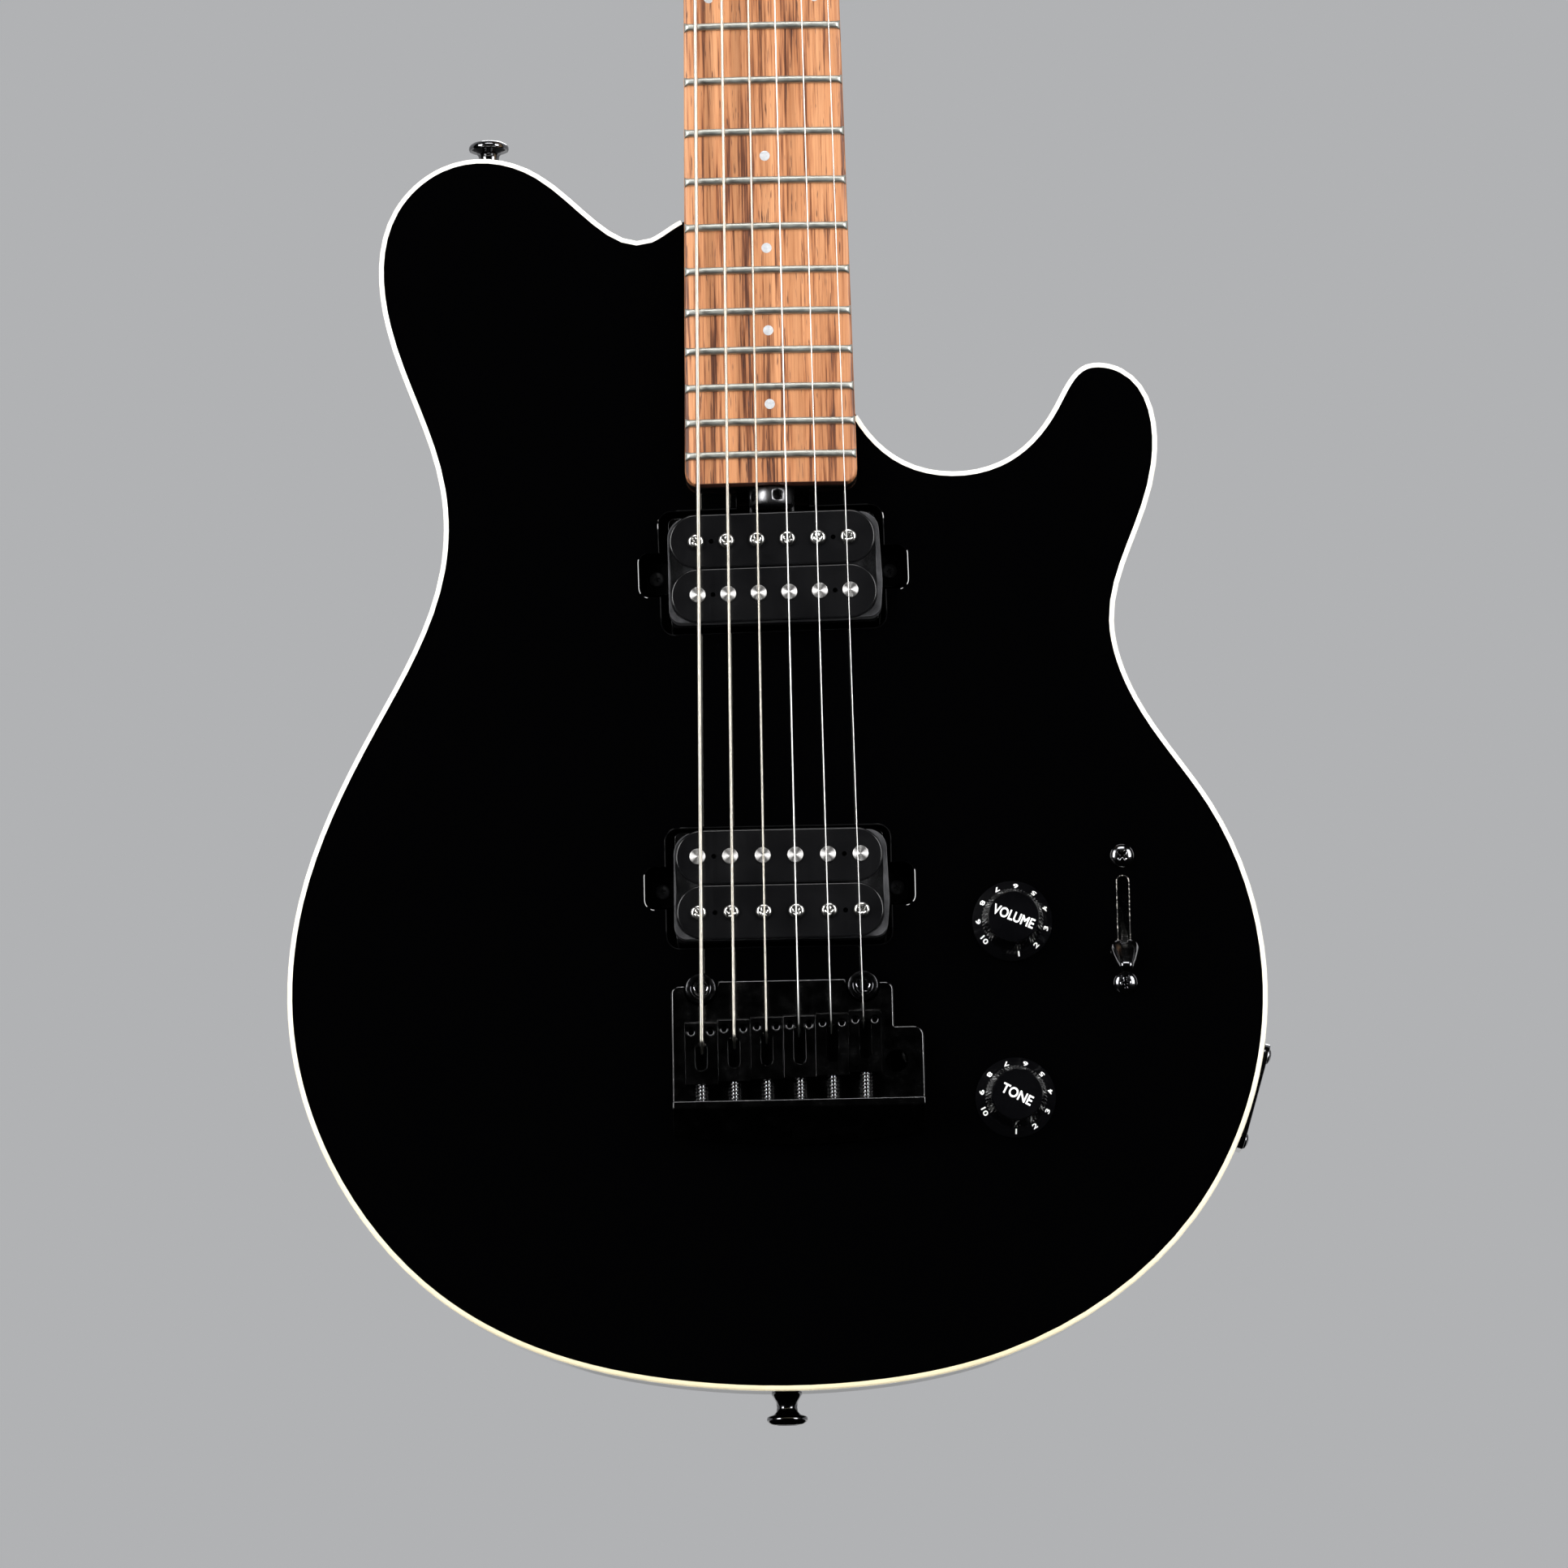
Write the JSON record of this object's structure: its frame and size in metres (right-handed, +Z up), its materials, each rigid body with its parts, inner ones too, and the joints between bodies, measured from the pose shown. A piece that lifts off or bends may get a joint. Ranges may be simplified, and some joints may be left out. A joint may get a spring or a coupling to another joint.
{
  "type": "electric guitar",
  "caption": "Solid-body electric guitar with a bolt-on neck, two twin-coil pickups, a two-post tremolo, rotary controls and a selector lever.",
  "frame": {"origin": "on the flat back of the body, on the centre line, 60 mm below the strings' scale end and 59.5 mm above the body's lower edge", "axes": "+Z runs up the neck to the headstock, +Y points out of the back, so the front faces -Y, and +X is the treble side with the knobs"},
  "size_m": [0.3167, 0.06, 0.9408],
  "materials": {
    "gloss_black": "gloss black lacquer over wood",
    "cream_binding": "aged cream plastic, buffed",
    "maple": "satin maple",
    "rosewood": "oiled open-pore rosewood with dark streaks",
    "bone": "off-white moulded nut",
    "steel": "nickel-plated steel",
    "black_metal": "black chrome plating",
    "black_plastic": "satin black plastic"
  },
  "bodies": {
    "guitar": {"body": "gloss_black", "body_binding": "cream_binding", "neck": "maple", "fretboard": "rosewood", "nut": "bone", "string_1": "steel", "tuner_housing_1": "black_metal", "string_2": "steel", "tuner_housing_2": "black_metal", "string_3": "steel", "tuner_housing_3": "black_metal", "string_4": "steel", "tuner_housing_4": "black_metal", "string_5": "steel", "tuner_housing_5": "black_metal", "string_6": "steel", "tuner_housing_6": "black_metal", "neck_pickup_base": "black_metal", "neck_pickup_bobbins": "black_plastic", "bridge_pickup_base": "black_metal", "bridge_pickup_bobbins": "black_plastic", "pivot_stud_bass": "black_metal", "pivot_stud_treble": "black_metal", "spring_claw": "black_metal", "jack_plate": "black_metal", "strap_button_upper": "black_metal", "strap_button_end": "black_metal", "tremolo_spring_1": "steel", "tremolo_spring_2": "steel", "tremolo_spring_3": "steel", "tremolo_cover": "black_plastic", "control_cover": "black_plastic", "volume_pot": "steel", "tone_pot": "steel", "selector_switch": "steel", "output_jack": "steel"},
    "truss_rod": {"truss_rod": "black_metal"},
    "tremolo": {"tremolo_plate": "black_metal", "tremolo_block": "black_metal"},
    "volume_knob": {"volume_knob": "black_plastic"},
    "tone_knob": {"tone_knob": "black_plastic"},
    "selector_lever": {"selector_lever": "black_metal"},
    "saddle_1": {"saddle_1": "black_metal"},
    "tuner_post_1": {"tuner_post_1": "black_metal"},
    "tuner_key_1": {"tuner_key_1": "black_metal"},
    "saddle_2": {"saddle_2": "black_metal"},
    "tuner_post_2": {"tuner_post_2": "black_metal"},
    "tuner_key_2": {"tuner_key_2": "black_metal"},
    "saddle_3": {"saddle_3": "black_metal"},
    "tuner_post_3": {"tuner_post_3": "black_metal"},
    "tuner_key_3": {"tuner_key_3": "black_metal"},
    "saddle_4": {"saddle_4": "black_metal"},
    "tuner_post_4": {"tuner_post_4": "black_metal"},
    "tuner_key_4": {"tuner_key_4": "black_metal"},
    "saddle_5": {"saddle_5": "black_metal"},
    "tuner_post_5": {"tuner_post_5": "black_metal"},
    "tuner_key_5": {"tuner_key_5": "black_metal"},
    "saddle_6": {"saddle_6": "black_metal"},
    "tuner_post_6": {"tuner_post_6": "black_metal"},
    "tuner_key_6": {"tuner_key_6": "black_metal"}
  },
  "joints": [
    {"name": "tremolo_pivot", "type": "hinge", "parent": "guitar", "child": "tremolo", "pos_m": [0, -0.049, 0.069], "axis": [-1, 0, 0], "range_deg": [-3, 12], "stiffness_Nm_per_rad": 15, "deforming": ["string_1", "string_2", "string_3", "string_4", "string_5", "string_6", "tremolo_spring_1", "tremolo_spring_2", "tremolo_spring_3"]},
    {"name": "truss_rod_turn", "type": "hinge", "parent": "guitar", "child": "truss_rod", "pos_m": [0, -0.0432, 0.2292], "axis": [0, 0, 1], "range_deg": [-180, 180]},
    {"name": "volume_turn", "type": "hinge", "parent": "guitar", "child": "volume_knob", "pos_m": [0.0745, -0.0445, 0.0893], "axis": [0, -1, 0], "range_deg": [0, 280]},
    {"name": "tone_turn", "type": "hinge", "parent": "guitar", "child": "tone_knob", "pos_m": [0.0742, -0.0445, 0.0324], "axis": [0, -1, 0], "range_deg": [0, 280]},
    {"name": "selector_swing", "type": "hinge", "parent": "guitar", "child": "selector_lever", "pos_m": [0.1104, -0.0285, 0.0892], "axis": [-1, 0, 0], "range_deg": [0, 48]},
    {"name": "saddle_1_slide", "type": "slide", "parent": "tremolo", "child": "saddle_1", "axis": [0, 0, 1], "range_m": [-0.003, 0.002]},
    {"name": "saddle_2_slide", "type": "slide", "parent": "tremolo", "child": "saddle_2", "axis": [0, 0, 1], "range_m": [-0.003, 0.002]},
    {"name": "saddle_3_slide", "type": "slide", "parent": "tremolo", "child": "saddle_3", "axis": [0, 0, 1], "range_m": [-0.003, 0.002]},
    {"name": "saddle_4_slide", "type": "slide", "parent": "tremolo", "child": "saddle_4", "axis": [0, 0, 1], "range_m": [-0.003, 0.002]},
    {"name": "saddle_5_slide", "type": "slide", "parent": "tremolo", "child": "saddle_5", "axis": [0, 0, 1], "range_m": [-0.003, 0.002]},
    {"name": "saddle_6_slide", "type": "slide", "parent": "tremolo", "child": "saddle_6", "axis": [0, 0, 1], "range_m": [-0.003, 0.002]},
    {"name": "tuner_key_1_turn", "type": "hinge", "parent": "guitar", "child": "tuner_key_1", "pos_m": [0.022, -0.02424, 0.74692], "axis": [1, 0, 0], "continuous": true},
    {"name": "tuner_key_2_turn", "type": "hinge", "parent": "guitar", "child": "tuner_key_2", "pos_m": [0.022, -0.01985, 0.78869], "axis": [1, 0, 0], "continuous": true},
    {"name": "tuner_key_3_turn", "type": "hinge", "parent": "guitar", "child": "tuner_key_3", "pos_m": [0.022, -0.01546, 0.83046], "axis": [1, 0, 0], "continuous": true},
    {"name": "tuner_key_4_turn", "type": "hinge", "parent": "guitar", "child": "tuner_key_4", "pos_m": [-0.022, -0.01546, 0.83046], "axis": [-1, 0, 0], "continuous": true},
    {"name": "tuner_key_5_turn", "type": "hinge", "parent": "guitar", "child": "tuner_key_5", "pos_m": [-0.022, -0.01985, 0.78869], "axis": [-1, 0, 0], "continuous": true},
    {"name": "tuner_key_6_turn", "type": "hinge", "parent": "guitar", "child": "tuner_key_6", "pos_m": [-0.022, -0.02424, 0.74692], "axis": [-1, 0, 0], "continuous": true},
    {"name": "tuner_post_1_turn", "type": "hinge", "parent": "guitar", "child": "tuner_post_1", "pos_m": [0.022, -0.04393, 0.74899], "axis": [0, -0.9945, 0.1045], "continuous": true},
    {"name": "tuner_post_2_turn", "type": "hinge", "parent": "guitar", "child": "tuner_post_2", "pos_m": [0.022, -0.03954, 0.79076], "axis": [0, -0.9945, 0.1045], "continuous": true},
    {"name": "tuner_post_3_turn", "type": "hinge", "parent": "guitar", "child": "tuner_post_3", "pos_m": [0.022, -0.03515, 0.83253], "axis": [0, -0.9945, 0.1045], "continuous": true},
    {"name": "tuner_post_4_turn", "type": "hinge", "parent": "guitar", "child": "tuner_post_4", "pos_m": [-0.022, -0.03515, 0.83253], "axis": [0, -0.9945, 0.1045], "continuous": true},
    {"name": "tuner_post_5_turn", "type": "hinge", "parent": "guitar", "child": "tuner_post_5", "pos_m": [-0.022, -0.03954, 0.79076], "axis": [0, -0.9945, 0.1045], "continuous": true},
    {"name": "tuner_post_6_turn", "type": "hinge", "parent": "guitar", "child": "tuner_post_6", "pos_m": [-0.022, -0.04393, 0.74899], "axis": [0, -0.9945, 0.1045], "continuous": true}
  ],
  "couplings": [
    {"joint": "tuner_post_1_turn", "follows": "tuner_key_1_turn", "ratio": 0.071429},
    {"joint": "tuner_post_2_turn", "follows": "tuner_key_2_turn", "ratio": 0.071429},
    {"joint": "tuner_post_3_turn", "follows": "tuner_key_3_turn", "ratio": 0.071429},
    {"joint": "tuner_post_4_turn", "follows": "tuner_key_4_turn", "ratio": 0.071429},
    {"joint": "tuner_post_5_turn", "follows": "tuner_key_5_turn", "ratio": 0.071429},
    {"joint": "tuner_post_6_turn", "follows": "tuner_key_6_turn", "ratio": 0.071429}
  ]
}
